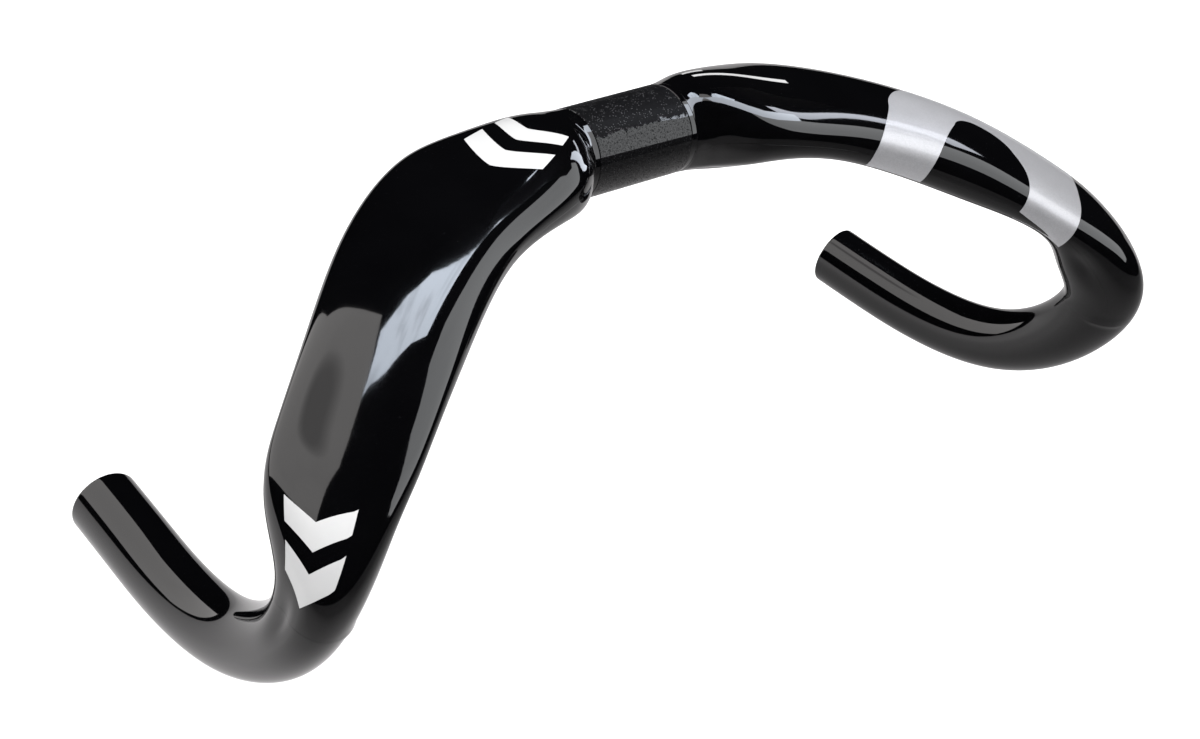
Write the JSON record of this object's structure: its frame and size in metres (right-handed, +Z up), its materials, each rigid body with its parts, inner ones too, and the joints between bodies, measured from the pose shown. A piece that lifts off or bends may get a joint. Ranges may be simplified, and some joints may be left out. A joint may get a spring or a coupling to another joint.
{
  "type": "drop handlebar",
  "caption": "Drop handlebar with broad wing-section tops, a round clamp zone for a stem and short round drops; bonded hollow laminate pieces.",
  "frame": {"origin": "centre of the 31.8 mm stem clamp, on its axis and half way along the bar", "axes": "+X along the clamp axis to the rider's right, +Y forward, +Z up, with the drop ends level"},
  "size_m": [0.4066, 0.1306, 0.1412],
  "materials": {
    "gloss_black": "deep black lacquer over carbon laminate, high gloss",
    "rough_clamp_layer": "rough dark grit that the stem grips",
    "bare_laminate": "unpainted carbon laminate, satin",
    "white_film": "white graphic film under lacquer",
    "silver_film": "satin silver graphic film under lacquer"
  },
  "bodies": {
    "root": {"clamp_tube": "gloss_black", "clamp_grip_layer": "rough_clamp_layer", "right_wing_upper_shell": "gloss_black", "left_wing_upper_shell": "gloss_black", "right_wing_lower_shell": "gloss_black", "left_wing_lower_shell": "gloss_black", "right_wing_nose_splice": "bare_laminate", "left_wing_nose_splice": "bare_laminate", "right_wing_tail_splice": "bare_laminate", "left_wing_tail_splice": "bare_laminate", "right_hook_sleeve": "bare_laminate", "left_hook_sleeve": "bare_laminate", "right_drop_tube": "gloss_black", "left_drop_tube": "gloss_black", "right_root_chevron_inner": "white_film", "right_root_chevron_outer": "white_film", "right_tip_chevron_inner": "white_film", "right_tip_chevron_outer": "white_film", "left_root_line_long": "white_film", "left_root_line_short": "white_film", "left_wing_panel": "silver_film"}
  },
  "joints": []
}
